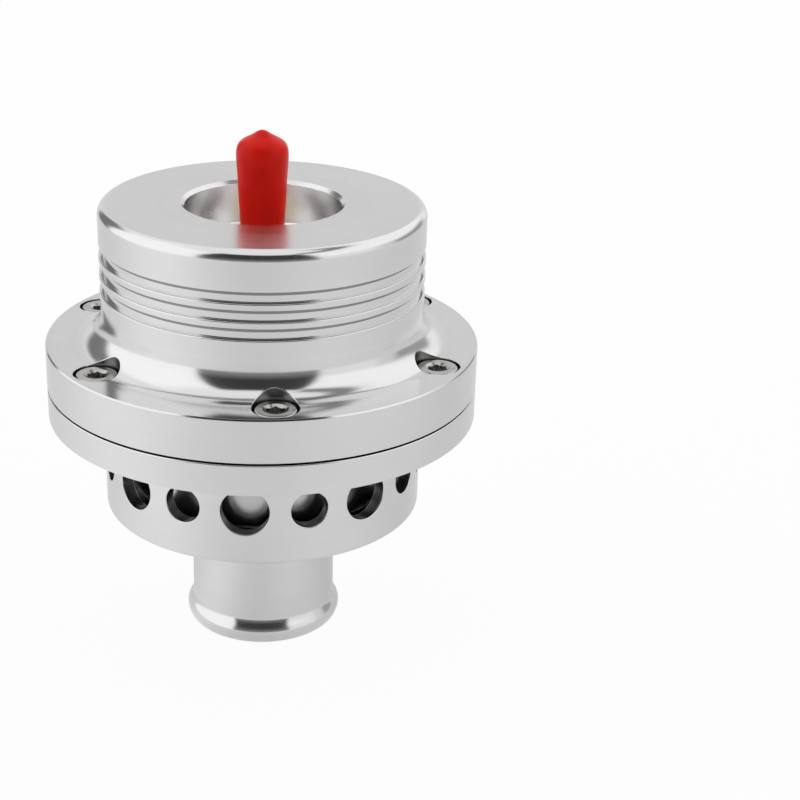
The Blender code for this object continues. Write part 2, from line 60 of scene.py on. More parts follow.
# Sizes that the solids were made from, in millimetres
TAIL_RADIUS = 12.5
TAIL_BORE = 10.4
TAIL_TOP = 23.25
TAIL_END = 12.07
BEAD_RADIUS = 13.52
BEAD_RISE = 1.02
BEAD_CENTRE = 2.1
BEAD_FLARE = 2.8
BARREL = 27.2
BASE_BORE = 24.9
FLOOR_TOP = 25.85
SEAT_TOP = 26.65
SEAT_RADIUS = 11.8
VENT_LEVEL = 32.6
VENT_AZIMUTH = -6.4
VENT_COUNT = 16
VENT_RADII = (4.0, 3.1)
FLANGE = 36.5
FLANGE_BOTTOM = 40.12
JOINT_LOW = 45.3
JOINT_HIGH = 45.6
RING_GROOVE = (25.9, 28.5)
RING_GROOVE_FLOOR = 43.0
FLANGE_TOP = 53.0
FILLET = 4.8
TOP_FACE = 76.6
TOP_ROUND = 1.8
GROOVE_TOPS = (70.05, 67.05, 64.05)
GROOVE_WIDTH = 1.83
GROOVE_FLOOR = 26.5
RECESS = 13.0
RECESS_FLOOR = 65.1
RECESS_FLAT = 6.0
CONE_TOP = 69.1
ROOF = 61.0
NIPPLE_HOLE = 2.8
SPIGOT = 24.6
SPIGOT_BOTTOM = 38.6
PISTON_BORE = 23.4
SCREW_CIRCLE = 31.9
SCREW_AZIMUTH = 3.4
SCREW_COUNT = 6
SCREW_HOLE = 2.3
COUNTERBORE_FLOOR = 48.6
HEAD_TOP = 52.9
HEAD_HEIGHT = 4.0
SCREW_TIP = 40.52
PISTON = 22.8
PISTON_HOLLOW = 19.8
PISTON_BOTTOM = 27.45
PISTON_TOP = 52.2
PISTON_FLOOR = 32.25
BOSS = 9.2
BOSS_TOP = 37.25
SPRING_RADIUS = 10.6
WIRE = 0.8
SPRING_LOW = 32.55
SPRING_TURNS = 7
CLOSED_PITCH = 1.9
OPEN_PITCH = 4.29
NIPPLE_LOW = 61.3
NIPPLE_HEX = 66.7
NIPPLE_HEX_TOP = 70.7
NIPPLE_TIP = 85.2
NIPPLE_FLATS = 4.0

# Sizes set for the looks, where the solids have slightly other ones or none
COUNTERBORE = 3.75
HEAD_RADIUS = 3.4
RECESS_CHAMFER = 0.6
FLANGE_CHAMFER = (0.18, 0.28)
GROOVE_SHADE = 0.62
CAP_TIP = 88.6
CAP_SHIFT = -0.15


# Sections and surfaces


def unit(vector):
    return vector / np.linalg.norm(vector)


def rounded(corners, closed=True):
    """Samples of a section from its corners (r, z, rounding): rows of r, z and the outward normal.

    The corners run so that the solid lies to the left. A corner whose rounding is None is a point of a
    drawn curve. An open section keeps its two ends as they are.
    """
    points = np.array([c[:2] for c in corners], float)
    rounding = [c[2] if len(c) > 2 else 0.0 for c in corners]
    count = len(points)
    rows = []
    for i in range(count):
        here = points[i]
        if not closed and i in (0, count - 1):
            way = unit(points[1] - here if i == 0 else here - points[-2])
            rows.append((*here, way[1], -way[0]))
            continue
        before, after = points[i - 1], points[(i + 1) % count]
        d1, d2 = unit(here - before), unit(after - here)
        turn = math.atan2(d1[0] * d2[1] - d1[1] * d2[0], d1 @ d2)
        n1, n2 = np.array((d1[1], -d1[0])), np.array((d2[1], -d2[0]))
        if rounding[i] is None or abs(turn) < 1e-6:
            rows.append((*here, *unit(n1 + n2)))
            continue
        half = math.tan(abs(turn) / 2)
        room = 0.98 * min(np.linalg.norm(here - before), np.linalg.norm(after - here))
        radius = min(rounding[i], room / half)
        if radius < 1e-4:
            rows.append((*here, *n1))
            rows.append((*here, *n2))
            continue
        side = math.copysign(1.0, turn)
        centre = here - d1 * radius * half - side * radius * n1
        steps = max(3, math.ceil(math.degrees(abs(turn)) / (7.5 if radius > 1.0 else 18.0)))
        for k in range(steps + 1):
            angle = turn * k / steps
            c, s = math.cos(angle), math.sin(angle)
            normal = np.array((c * n1[0] - s * n1[1], s * n1[0] + c * n1[1]))
            rows.append((*(centre + side * radius * normal), *normal))
    if closed:
        rows.append(rows[0])
    return np.array(rows)


def between(a, b, count):
    """Points that divide the straight line from a to b, both ends included."""
    return [(a[0] + (b[0] - a[0]) * i / count, a[1] + (b[1] - a[1]) * i / count)
            for i in range(count + 1)]


def in_space(azimuth, r, z):
    """Points, or directions, from their azimuth, distance from the axis and height."""
    turn = np.radians(azimuth)
    return np.stack(np.broadcast_arrays(r * np.sin(turn), -r * np.cos(turn), z), -1)


def full_turn(start, steps):
    return start + 360.0 * np.arange(steps + 1) / steps


# Finishes of a housing's faces, in the order of its materials
# The drilled finish is dark, and on the grooves' floors it is painted shade; the bored one is a brighter
# copy of the aluminium, painted light in the recess
POLISHED, DRILLED_AND_PAINTED_SHADE, FACED, BORED_PAINTED_LIGHT = range(4)


class Mesh:
    """Gathers faces with a normal and a finish, in millimetres."""

    def __init__(self):
        self.places = []
        self.normals = []
        self.finishes = []
        self.finish = POLISHED

    def grid(self, places, normals):
        """Adds the faces between neighbouring rows and columns of points."""
        places = np.asarray(places, float)
        normals = np.broadcast_to(normals, places.shape)
        for store, block in ((self.places, places), (self.normals, normals)):
            quads = np.stack((block[:-1, :-1], block[:-1, 1:], block[1:, 1:], block[1:, :-1]), 2)
            store.append(quads.reshape(-1, 4, 3))
        self.finishes += [self.finish] * len(self.places[-1])

    def revolve(self, section, azimuths):
        """Adds the surface that a section sweeps through these azimuths."""
        turn = np.asarray(azimuths)[None, :]
        r, z, nr, nz = (section[:, i, None] for i in range(4))
        self.grid(in_space(turn, r, z), in_space(turn, nr, nz))

    def made(self, name, centre=(0.0, 0.0, 0.0), upside_down=False):
        """The finished object, its points joined and its corner normals kept."""
        places = np.concatenate(self.places)
        normals = np.concatenate(self.normals)
        if upside_down:
            places, normals = places * (1, -1, -1), normals * (1, -1, -1)
        places = (places + centre) * MM
        size = np.linalg.norm(normals, axis=-1, keepdims=True)
        normals = normals / np.where(size > 0, size, 1)
        across = np.cross(places[:, 2] - places[:, 0], places[:, 3] - places[:, 1])
        flip = (across * normals.sum(1)).sum(-1) < 0
        places[flip] = places[flip][:, ::-1]
        normals[flip] = normals[flip][:, ::-1]
        keys = np.round(places.reshape(-1, 3) / WELD + 0.31).astype(np.int64)
        found, first, which = np.unique(keys, axis=0, return_index=True, return_inverse=True)
        vertices = places.reshape(-1, 3)[first]
        faces, corners, finishes = [], [], []
        for face, corner, finish in zip(which.reshape(-1, 4).tolist(), normals, self.finishes):
            kept = [k for k in range(4) if face[k] != face[k - 1]]
            if len({face[k] for k in kept}) > 2:
                faces.append([face[k] for k in kept])
                corners.extend(corner[k] for k in kept)
                finishes.append(finish)
        mesh = bpy.data.meshes.new(name)
        mesh.from_pydata(vertices.tolist(), [], faces)
        mesh.shade_smooth()
        mesh.polygons.foreach_set("material_index", finishes)
        mesh.normals_split_custom_set([tuple(c) for c in corners])
        obj = bpy.data.objects.new(name, mesh)
        bpy.context.scene.collection.objects.link(obj)
        return obj


def turned(name, corners, steps=SMALL_STEPS, closed=True):
    mesh = Mesh()
    mesh.revolve(rounded(corners, closed), full_turn(0.0, steps))
    return mesh.made(name)


def ring(name, inner, outer, low, high, rounding, steps=SMALL_STEPS):
    return turned(name, [(inner, low, rounding), (outer, low, rounding), (outer, high, rounding),
                         (inner, high, rounding)], steps)


def o_ring(name, radius, section, level):
    points = [(radius + section * math.cos(a), level + section * math.sin(a), None)
              for a in np.radians(np.arange(0, 360, 15))]
    return turned(name, points, BODY_STEPS)


# Holes in turned surfaces


class Window:
    """A stretch of a section that round holes are cut into, each in a cell of its own."""

    def __init__(self, section, first, last, cell_steps, step):
        """first and last are places (r, z) on the section, step the azimuth between grid lines."""
        ends = [int(np.argmin(np.abs(section[:, :2] - np.array(p)).sum(1))) for p in (first, last)]
        self.low, self.high = min(ends), max(ends)
        self.rows = section[self.low:self.high + 1]
        lengths = np.linalg.norm(np.diff(self.rows[:, :2], axis=0), axis=1)
        self.along = np.concatenate(([0.0], np.cumsum(lengths)))
        self.cell_steps = cell_steps
        self.step = step

    def surface(self, azimuth, along):
        """Places and normals at these azimuths and distances along the section."""
        r, z, nr, nz = (np.interp(along, self.along, self.rows[:, i]) for i in range(4))
        return in_space(azimuth, r, z), in_space(azimuth, nr, nz)

    def along_at(self, column, value):
        """The distance along at which the section has this radius, column 0, or height, column 1."""
        order = np.argsort(self.rows[:, column], kind="stable")
        return np.interp(value, self.rows[order, column], self.along[order])

    def border(self, start):
        """The cell's border as azimuths and distances, round from its first corner."""
        azimuths = start + self.step * np.arange(self.cell_steps + 1)
        sides = len(self.along) - 1
        azimuth = np.concatenate((azimuths[:-1], np.full(sides, azimuths[-1]),
                                  azimuths[:0:-1], np.full(sides, azimuths[0])))
        along = np.concatenate((np.full(self.cell_steps, self.along[0]), self.along[:-1],
                                np.full(self.cell_steps, self.along[-1]), self.along[:0:-1]))
        return azimuth, along

    def cell(self, mesh, start, loop):
        """Fills a cell round a hole. loop is the hole's edge as azimuths and distances along."""
        azimuth, along = self.border(start)
        count = len(azimuth)
        scale = math.radians(self.rows[:, 0].mean())
        best = None
        for way in (1, -1):
            for offset in range(count):
                order = (offset + way * np.arange(count)) % count
                miss = (((loop[0][order] - azimuth) * scale) ** 2 + (loop[1][order] - along) ** 2).sum()
                if best is None or miss < best[0]:
                    best = (miss, order)
        order = np.append(best[1], best[1][0])
        azimuth, along = np.append(azimuth, azimuth[0]), np.append(along, along[0])
        share = np.array((0.0, 0.08, 0.25, 0.55, 1.0))[:, None]
        mesh.grid(*self.surface(loop[0][order] * (1 - share) + azimuth * share,
                                loop[1][order] * (1 - share) + along * share))

    def fill(self, mesh, starts):
        """Plain faces between the cells that start at these azimuths."""
        width = self.step * self.cell_steps
        starts = sorted(starts)
        for here, after in zip(starts, starts[1:] + [starts[0] + 360.0]):
            room = round((after - here - width) / self.step)
            if room > 0:
                mesh.revolve(self.rows, here + width + self.step * np.arange(room + 1))


def loop_grid(mesh, places, normals):
    """Adds the faces between closed rings of points."""
    places = np.asarray(places, float)
    normals = np.broadcast_to(normals, places.shape)
    mesh.grid(np.concatenate((places, places[:, :1]), 1), np.concatenate((normals, normals[:, :1]), 1))


def hole_edge(mesh, window, start, flat, radius, rounding, into, inward):
    """Fills a cell and rounds its hole's edge. Returns the ring where the hole's wall begins."""
    places, normals = [], []
    for angle in np.radians((0.0, 30.0, 60.0, 90.0)):
        place, normal = window.surface(*flat(radius + rounding * (1 - math.sin(angle))))
        places.append(place + into * rounding * (1 - math.cos(angle)))
        normals.append(math.cos(angle) * normal + math.sin(angle) * inward)
    loop_grid(mesh, places, normals)
    window.cell(mesh, start, flat(radius + rounding))
    return places[-1]


def directions(azimuth):
    """Outward, sideways and up at an azimuth."""
    turn = math.radians(azimuth)
    out = np.array((math.sin(turn), -math.cos(turn), 0.0))
    side = np.array((math.cos(turn), math.sin(turn), 0.0))
    return out, side, np.array((0.0, 0.0, 1.0))


def radial_hole(mesh, windows, azimuth, level, radius, rounding):
    """A round hole through a wall, from its outer window to its inner one."""
    count = len(windows[0].border(0.0)[0])
    around = 2 * math.pi * np.arange(count) / count
    out, side, up = directions(azimuth)
    inward = -(np.cos(around)[:, None] * side + np.sin(around)[:, None] * up)
    walls = []
    for window, into in zip(windows, (-out, out)):
        wall = window.rows[0, 0]
        start = azimuth - window.step * window.cell_steps / 2

        def flat(size):
            shift = np.degrees(np.arcsin(size * np.cos(around) / wall))
            return azimuth + shift, window.along_at(1, level + size * np.sin(around))

        walls.append(hole_edge(mesh, window, start, flat, radius, rounding, into, inward))
    mesh.finish = DRILLED_AND_PAINTED_SHADE
    loop_grid(mesh, walls, inward)
    mesh.finish = POLISHED


def upright_hole(mesh, windows, azimuth, start, radii, rounding, shelf=None):
    """An upright round hole from its upper window to its lower one, with a shelf where it narrows."""
    count = len(windows[0].border(0.0)[0])
    around = 2 * math.pi * np.arange(count) / count
    out, side, up = directions(azimuth)
    outward = np.cos(around)[:, None] * out + np.sin(around)[:, None] * side
    walls = []
    for window, into, radius in zip(windows, (-up, up), radii):

        def flat(size):
            forward, sideways = SCREW_CIRCLE + size * np.cos(around), size * np.sin(around)
            turn = np.degrees(np.arctan2(sideways, forward))
            return azimuth + turn, window.along_at(0, np.hypot(forward, sideways))

        walls.append(hole_edge(mesh, window, start, flat, radius, rounding, into, -outward))
    mesh.finish = DRILLED_AND_PAINTED_SHADE
    if shelf is None:
        loop_grid(mesh, walls, -outward)
    else:
        steps = [SCREW_CIRCLE * out + outward * radius + up * shelf for radius in radii]
        loop_grid(mesh, (walls[0], steps[0]), -outward)
        loop_grid(mesh, steps, up)
        loop_grid(mesh, (steps[1], walls[1]), -outward)
    mesh.finish = POLISHED


def sweep_round(mesh, section, windows, start):
    """Sweeps a section through a full turn, but for its windows."""
    at = 0
    for low, high in sorted((w.low, w.high) for w in windows):
        mesh.revolve(section[at:low + 1], full_turn(start, BODY_STEPS))
        at = high
    mesh.revolve(section[at:], full_turn(start, BODY_STEPS))


# The two housings

STEP = 360.0 / BODY_STEPS
SCREWS = [SCREW_AZIMUTH + 60.0 * i for i in range(SCREW_COUNT)]

# Cells that the vents and the screws' holes are cut in: heights or radii, and steps round. The cells of
# the counterbores end at FLAT_RIM, and inwards they reach up the fillet.
VENT_CELL = (VENT_LEVEL - 4.6, VENT_LEVEL + 4.6)
VENT_CELL_STEPS = BODY_STEPS // VENT_COUNT
SCREW_CELL = (28.6, 35.4)
SCREW_CELL_STEPS = 10
FLAT_RIM = 35.6
FILLET_REACH = math.radians(75)


def lower_body():
    """Hose tail, floor with its seat, vented wall and lower flange."""
    outer_wall = between((BARREL, VENT_CELL[0]), (BARREL, VENT_CELL[1]), 12)
    inner_wall = between((BASE_BORE, VENT_CELL[1]), (BASE_BORE, VENT_CELL[0]), 12)
    underside = between((SCREW_CELL[0], FLANGE_BOTTOM), (SCREW_CELL[1], FLANGE_BOTTOM), 14)
    topside = between((SCREW_CELL[1], JOINT_LOW), (SCREW_CELL[0], JOINT_LOW), 14)
    bead = [(TAIL_END + (BEAD_RADIUS - TAIL_END) * math.sin(a), BEAD_CENTRE * (1 - math.cos(a)), None)
            for a in np.radians(np.arange(0, 91, 7.5))]
    flare = [(BEAD_RADIUS - BEAD_RISE / 2 * (1 - math.cos(a)),
              BEAD_CENTRE + BEAD_FLARE * a / math.pi, None)
             for a in np.radians(np.arange(10, 181, 10))]
    ring_inner, ring_outer = RING_GROOVE
    section = rounded([
        (TAIL_BORE, 0.0, 0.45), *bead, *flare, (TAIL_RADIUS, TAIL_TOP, 0.35),
        (BARREL, TAIL_TOP, 0.7), *outer_wall, (BARREL, FLANGE_BOTTOM, 0.25),
        *underside, (FLANGE, FLANGE_BOTTOM, 0.22), (FLANGE, JOINT_LOW, 0.2), *topside,
        (ring_outer, JOINT_LOW, 0.05), (ring_outer, RING_GROOVE_FLOOR, 0.3),
        (ring_inner, RING_GROOVE_FLOOR, 0.3), (ring_inner, JOINT_LOW, 0.1),
        (BASE_BORE, JOINT_LOW, 0.3), *inner_wall, (BASE_BORE, FLOOR_TOP, 1.5),
        (SEAT_RADIUS, FLOOR_TOP, 0.15), (SEAT_RADIUS, SEAT_TOP, 0.25), (TAIL_BORE, SEAT_TOP, 0.25)])
    vents = [Window(section, wall[0], wall[-1], VENT_CELL_STEPS, STEP)
             for wall in (outer_wall, inner_wall)]
    flats = [Window(section, face[0], face[-1], SCREW_CELL_STEPS, STEP)
             for face in (topside, underside)]
    start = VENT_AZIMUTH - VENT_CELL_STEPS * STEP / 2
    mesh = Mesh()
    sweep_round(mesh, section, vents + flats, start)
    for i in range(VENT_COUNT):
        azimuth = VENT_AZIMUTH + i * 360.0 / VENT_COUNT
        radial_hole(mesh, vents, azimuth, VENT_LEVEL, VENT_RADII[i % 2], 0.18)
    cells = [start + STEP * round((a - SCREW_CELL_STEPS * STEP / 2 - start) / STEP) for a in SCREWS]
    for window in flats:
        window.fill(mesh, cells)
    for azimuth, cell in zip(SCREWS, cells):
        upright_hole(mesh, flats, azimuth, cell, (SCREW_HOLE, SCREW_HOLE), 0.15)
    return mesh.made("lower_body")


def upper_body():
    """Top band, grooves, neck, upper flange, recess, spigot and the piston's bore.

    The top face is faced and the recess bored; the recess gets a brighter copy of the aluminium, which is
    painted light. The holes have a dark drilled finish, and a strip of each groove's floor, GROOVE_SHADE
    deep under the land above it, gets it too as painted shade, which gives the groove its thin dark line.
    """
    underside = between((SCREW_CELL[0], JOINT_HIGH), (SCREW_CELL[1], JOINT_HIGH), 14)
    flat_start = BARREL + FILLET
    flat_top = between((flat_start, FLANGE_TOP), (FLAT_RIM, FLANGE_TOP), 4)
    corners = [(NIPPLE_HOLE, ROOF, 0.2), (NIPPLE_HOLE, RECESS_FLOOR, 0.2),
               (RECESS_FLAT, RECESS_FLOOR, 0.4), (RECESS, CONE_TOP, 0.4),
               (RECESS, TOP_FACE - RECESS_CHAMFER, 0.12),
               (RECESS + RECESS_CHAMFER, TOP_FACE, 0.12), (BARREL, TOP_FACE, TOP_ROUND)]
    for top in GROOVE_TOPS:
        bottom = top - GROOVE_WIDTH
        corners += [(BARREL, top, 0.14), (GROOVE_FLOOR, top, 0.12),
                    (GROOVE_FLOOR, top - GROOVE_SHADE, None), (GROOVE_FLOOR, bottom, 0.05),
                    (BARREL, bottom, 0.24)]
    corners += [(BARREL, FLANGE_TOP, FILLET), *flat_top[1:],
                (FLANGE - FLANGE_CHAMFER[0], FLANGE_TOP, 0.05),
                (FLANGE, FLANGE_TOP - FLANGE_CHAMFER[1], 0.05),
                (FLANGE, JOINT_HIGH, 0.2), *underside[::-1],
                (SPIGOT, JOINT_HIGH, 0.3), (SPIGOT, SPIGOT_BOTTOM, 0.3),
                (PISTON_BORE, SPIGOT_BOTTOM, 0.3), (PISTON_BORE, ROOF, 0.5)]
    section = rounded(corners[::-1])
    fillet_end = (flat_start - FILLET * math.sin(FILLET_REACH),
                  FLANGE_TOP + FILLET * (1 - math.cos(FILLET_REACH)))
    flats = [Window(section, flat_top[-1], fillet_end, SCREW_CELL_STEPS, STEP),
             Window(section, underside[0], underside[-1], SCREW_CELL_STEPS, STEP)]
    cells = [a - SCREW_CELL_STEPS * STEP / 2 for a in SCREWS]
    mesh = Mesh()
    sweep_round(mesh, section, flats, cells[0])
    for window in flats:
        window.fill(mesh, cells)
    for azimuth, cell in zip(SCREWS, cells):
        upright_hole(mesh, flats, azimuth, cell, (COUNTERBORE, SCREW_HOLE), 0.1, COUNTERBORE_FLOOR)
    body = mesh.made("upper_body")
    # A face's finish follows from where its middle is
    for face in body.data.polygons:
        x, y, level = face.center / MM
        radius = math.hypot(x, y)
        if level > TOP_FACE - 0.01:
            face.material_index = FACED
        # Painted light: the recess gets a brighter copy of the aluminium
        elif radius < RECESS + 0.1 and level > RECESS_FLOOR + 0.1:
            face.material_index = BORED_PAINTED_LIGHT
        # Painted shade: a strip of each groove's floor, just under the land above it, gets the dark
        # drilled material
        elif radius < BARREL - 0.06 and any(t - GROOVE_SHADE < level < t + 0.01 for t in GROOVE_TOPS):
            face.material_index = DRILLED_AND_PAINTED_SHADE
    return body


# Screws, nipple, spring and cap


def thread(mesh, radius, depth, pitch, low, high, steps):
    """A right-hand thread between two heights, fading out at both ends."""
    rows = int((high - low) / pitch * 8) + 1
    azimuth, level = np.meshgrid(full_turn(0.0, steps), np.linspace(low, high, rows))

    def size(a, z):
        phase = (z / pitch - a / 360.0) % 1.0
        crest = np.clip(1.35 * (1 - np.abs(2 * phase - 1)) - 0.15, 0, 1)
        return radius - depth * np.clip(np.minimum(z - low, high - z) / pitch, 0, 1) * (1 - crest)

    nudge = 0.01
    r = size(azimuth, level)
    up_slope = (size(azimuth, level + nudge) - size(azimuth, level - nudge)) / (2 * nudge)
    side_slope = (size(azimuth + 1, level) - size(azimuth - 1, level)) / (2 * math.radians(1)) / r
    out, side = in_space(azimuth, 1.0, -up_slope), in_space(azimuth + 90.0, 1.0, 0.0)
    mesh.grid(in_space(azimuth, r, level), out - side_slope[..., None] * side)


def hexagon(azimuth, half_flats, corner):
    """Radius of a hexagon with one corner at the given azimuth."""
    return half_flats / np.cos(np.radians((azimuth - corner) % 60.0 - 30.0))


def hexagon_side(i, corner):
    """Azimuths along a side of a hexagon, kept just inside its corners."""
    return corner + 60.0 * i + np.clip(np.linspace(0, 60, 9), 0, 60 - 1e-9)


def cap_screw(name, centre, height, socket_depth, length, upside_down=False):
    """A socket head cap screw made round its own axis, its head's top at zero."""
    mesh = Mesh()
    around = full_turn(0.0, SCREW_STEPS)
    shank, depth, pitch = 2.0, 0.36, 0.7
    socket_flats, rim = 1.5, 2.05
    tip = -height - length
    mesh.revolve(rounded([(0.0, tip), (1.5, tip, 0.1), (shank, tip + 0.5)], closed=False), around)
    thread(mesh, shank, depth, pitch, tip + 0.5, -height - pitch, SCREW_STEPS)
    mesh.revolve(rounded([(shank, -height - pitch), (shank, -height, 0.15), (HEAD_RADIUS, -height, 0.15),
                          (HEAD_RADIUS, 0.0, 0.38), (rim, 0.0)], closed=False), around)
    for i in range(6):
        side = hexagon_side(i, 0.0)
        edge = hexagon(side, socket_flats, 0.0)
        mouth = in_space(side, edge, -(rim - edge) * 0.8)
        floor = in_space(side, edge, -socket_depth)
        disc = in_space(side, 1.2, -socket_depth)
        mesh.grid((in_space(side, rim, 0.0), mouth), in_space(side, -0.62, 0.78))
        mesh.grid((mouth, floor), in_space(60.0 * i + 30.0, -1.0, 0.0))
        mesh.grid((floor, disc), (0.0, 0.0, 1.0))
        mesh.grid((disc, in_space(side, 0.0, -socket_depth - 0.4)), in_space(side, -0.316, 0.949))
    return mesh.made(name, centre, upside_down)


def nipple():
    """Brass nipple: thread, chamfered hexagon, stem and barb, bored through."""
    mesh = Mesh()
    around = full_turn(0.0, SCREW_STEPS)
    shank, depth, pitch = 2.5, 0.4, 0.8
    thread_low, thread_high = NIPPLE_LOW + 0.6, 66.0
    bore, stem, barb, land = 1.2, 2.1, 2.7, 3.8
    mesh.revolve(rounded([
        (land, NIPPLE_HEX_TOP), (stem, NIPPLE_HEX_TOP, 0.25), (stem, 82.9, 0.1), (barb, 83.0, 0.12),
        (stem, NIPPLE_TIP, 0.15), (bore, NIPPLE_TIP, 0.2), (bore, NIPPLE_LOW, 0.3),
        (2.0, NIPPLE_LOW, 0.1), (shank, thread_low)], closed=False), around)
    thread(mesh, shank, depth, pitch, thread_low, thread_high, SCREW_STEPS)
    mesh.revolve(rounded([(shank, thread_high), (shank, NIPPLE_HEX)], closed=False), around)
    for i in range(6):
        side = hexagon_side(i, 30.0)
        edge = hexagon(side, NIPPLE_FLATS, 30.0)
        base = in_space(side, edge, NIPPLE_HEX)
        crown = in_space(side, edge, NIPPLE_HEX_TOP - (edge - land) * 0.577)
        mesh.grid((in_space(side, shank, NIPPLE_HEX), base), (0.0, 0.0, -1.0))
        mesh.grid((base, crown), in_space(60.0 + 60.0 * i, 1.0, 0.0))
        mesh.grid((crown, in_space(side, land, NIPPLE_HEX_TOP)), in_space(side, 0.5, 0.866))
    return mesh.made("nipple")


def coil():
    """Compression spring with its end turns closed."""
    turns = np.linspace(0, SPRING_TURNS, SPRING_TURNS * 48 + 1)
    shut = np.minimum(turns, 1) + np.maximum(turns - SPRING_TURNS + 1, 0)
    level = SPRING_LOW + WIRE + shut * CLOSED_PITCH + (turns - shut) * OPEN_PITCH
    azimuth = 360.0 * turns
    middle = in_space(azimuth, SPRING_RADIUS, level)
    out = in_space(azimuth, 1.0, 0.0)
    way = np.gradient(middle, axis=0)
    way /= np.linalg.norm(way, axis=1, keepdims=True)
    over = np.cross(out, way)
    angle = np.radians(full_turn(0.0, 16))[None, :, None]
    normals = np.cos(angle) * out[:, None] + np.sin(angle) * over[:, None]
    mesh = Mesh()
    mesh.grid(middle[:, None] + WIRE * normals, normals)
    for end, sign in ((0, -1), (-1, 1)):
        disc = middle[end] + np.array((0.0, 0.7, 1.0))[:, None, None] * WIRE * normals[end]
        mesh.grid(disc, sign * way[end])
    return mesh.made("coil")


def cap():
    """Dipped vinyl cap: slim at its foot, fuller above, with a soft shoulder and a blunt cone."""
    outer = [(3.2, 71.0), (3.42, 71.08), (3.55, 71.35), (3.66, 72.2), (3.76, 74.0), (3.87, 76.0),
             (3.96, 78.0), (4.06, 80.0), (4.16, 81.6), (4.25, 82.8), (4.31, 83.8), (4.32, 84.6),
             (4.27, 85.3), (4.12, 85.92), (3.86, 86.4), (3.46, 86.8), (2.95, 87.13),
             (2.4, 87.42), (1.9, 87.68), (1.5, 87.91), (1.15, 88.15), (0.8, 88.38), (0.4, 88.55)]
    inner = [(1.0, 85.45), (2.2, 85.2), (2.8, 84.6), (3.0, 83.8), (3.0, 74.0), (3.0, 71.6),
             (3.06, 71.15)]
    corners = [(0.0, 85.5), *((r, z, None) for r, z in inner + outer), (0.0, CAP_TIP)]
    mesh = Mesh()
    mesh.revolve(rounded(corners, closed=False), full_turn(0.0, SMALL_STEPS))
    return mesh.made("cap", (CAP_SHIFT, 0.0, 0.0))


def piston_cup():
    """Piston with its ring grooves, seal pocket and boss."""
    hole_end, pocket, pocket_roof = 35.15, 14.5, 29.25
    corners = [(0.0, hole_end), (SCREW_HOLE, hole_end, 0.2), (SCREW_HOLE, pocket_roof, 0.2),
               (pocket, pocket_roof, 0.3), (pocket, PISTON_BOTTOM, 0.25), (PISTON, PISTON_BOTTOM, 0.6)]
    ring_groove_width = 2.4
    for low, floor in ((41.4, 21.6), (45.0, 21.0), (48.6, 21.6)):
        high = low + ring_groove_width
        corners += [(PISTON, low, 0.15), (floor, low, 0.2), (floor, high, 0.2), (PISTON, high, 0.15)]
    corners += [(PISTON, PISTON_TOP, 0.3), (PISTON_HOLLOW, PISTON_TOP, 0.3),
                (PISTON_HOLLOW, PISTON_FLOOR, 1.2), (BOSS, PISTON_FLOOR, 0.3), (BOSS, BOSS_TOP, 0.4),
                (0.0, BOSS_TOP)]
    return turned("piston_cup", corners, BODY_STEPS, closed=False)


# Materials


class Nodes:
    """A short way to lay out nodes."""

    def __init__(self, tree):
        self.tree = tree
        tree.nodes.clear()

    def add(self, kind, inputs=None, **settings):
        node = self.tree.nodes.new(kind)
        for key, value in settings.items():
            setattr(node, key, value)
        for key, value in (inputs or {}).items():
            self.put(node.inputs[key], value)
        return node

    def put(self, socket, value):
        if isinstance(value, bpy.types.NodeSocket):
            self.tree.links.new(value, socket)
        else:
            socket.default_value = value

    def math(self, operation, *values):
        node = self.add("ShaderNodeMath", operation=operation)
        for socket, value in zip(node.inputs, values):
            self.put(socket, value)
        return node.outputs[0]

    def range(self, value, low, high, start, end, kind="LINEAR"):
        """Goes from start to end as the value goes from low to high."""
        node = self.add("ShaderNodeMapRange", {"Value": value, "From Min": low, "From Max": high,
                                               "To Min": start, "To Max": end}, interpolation_type=kind)
        return node.outputs[0]

    def noise(self, vector, scale, detail=2.0, roughness=0.5):
        return self.add("ShaderNodeTexNoise", {"Vector": vector, "Scale": scale, "Detail": detail,
                                               "Roughness": roughness}).outputs[0]

    def blend(self, factor, a, b):
        node = self.add("ShaderNodeMix", data_type="RGBA")
        for i, value in ((0, factor), (6, a), (7, b)):
            self.put(node.inputs[i], value)
        return node.outputs[2]


def colour(value):
    """A colour socket's value from a grey or from red, green and blue."""
    return (*value, 1.0) if isinstance(value, tuple) else (value, value, value, 1.0)


def blank_material(name):
    made = bpy.data.materials.new(name)
    made.use_nodes = True
    return made, Nodes(made.node_tree)


def new_material(name):
    made, nodes = blank_material(name)
    shader = nodes.add("ShaderNodeBsdfPrincipled")
    nodes.add("ShaderNodeOutputMaterial", {"Surface": shader.outputs[0]})
    return made, nodes, shader


